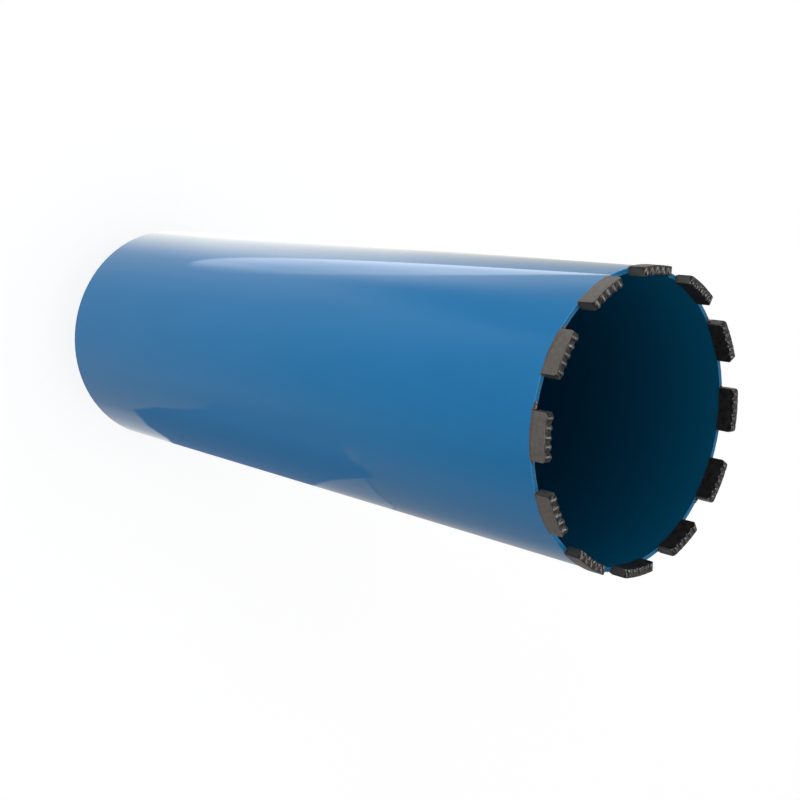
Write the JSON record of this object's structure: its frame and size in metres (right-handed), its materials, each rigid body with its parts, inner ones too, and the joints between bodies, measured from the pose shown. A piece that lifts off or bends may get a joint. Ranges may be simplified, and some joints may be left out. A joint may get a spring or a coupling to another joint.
{
  "type": "diamond core bit",
  "caption": "Wet core drilling bit: thin blue steel barrel with ridged diamond segments brazed round its open crown and a female-threaded hub welded to its closed end.",
  "frame": {"origin": "centre of the hub's seating face, which is also the lowest point", "axes": "+Z along the axis of rotation, from the hub to the cutting crown; +X through the middle of the first segment"},
  "size_m": [0.162, 0.162, 0.498],
  "materials": {
    "blue_paint": "gloss enamel over steel",
    "painted_weld": "gloss enamel over a weld run",
    "bare_weld": "weld run with heat tint",
    "machined_steel": "turned and milled",
    "diamond_matrix": "sintered metal with diamond grit, matt",
    "braze_filler": "heat-tinted silver solder"
  },
  "bodies": {
    "root": {"barrel": "blue_paint", "back_plate": "blue_paint", "rear_weld": "painted_weld", "hub_weld": "painted_weld", "inner_weld": "bare_weld", "hub": "machined_steel", "segment_01": "diamond_matrix", "segment_02": "diamond_matrix", "segment_03": "diamond_matrix", "segment_04": "diamond_matrix", "segment_05": "diamond_matrix", "segment_06": "diamond_matrix", "segment_07": "diamond_matrix", "segment_08": "diamond_matrix", "segment_09": "diamond_matrix", "segment_10": "diamond_matrix", "segment_11": "diamond_matrix", "segment_12": "diamond_matrix", "braze_01": "braze_filler", "braze_02": "braze_filler", "braze_03": "braze_filler", "braze_04": "braze_filler", "braze_05": "braze_filler", "braze_06": "braze_filler", "braze_07": "braze_filler", "braze_08": "braze_filler", "braze_09": "braze_filler", "braze_10": "braze_filler", "braze_11": "braze_filler", "braze_12": "braze_filler"}
  },
  "joints": []
}
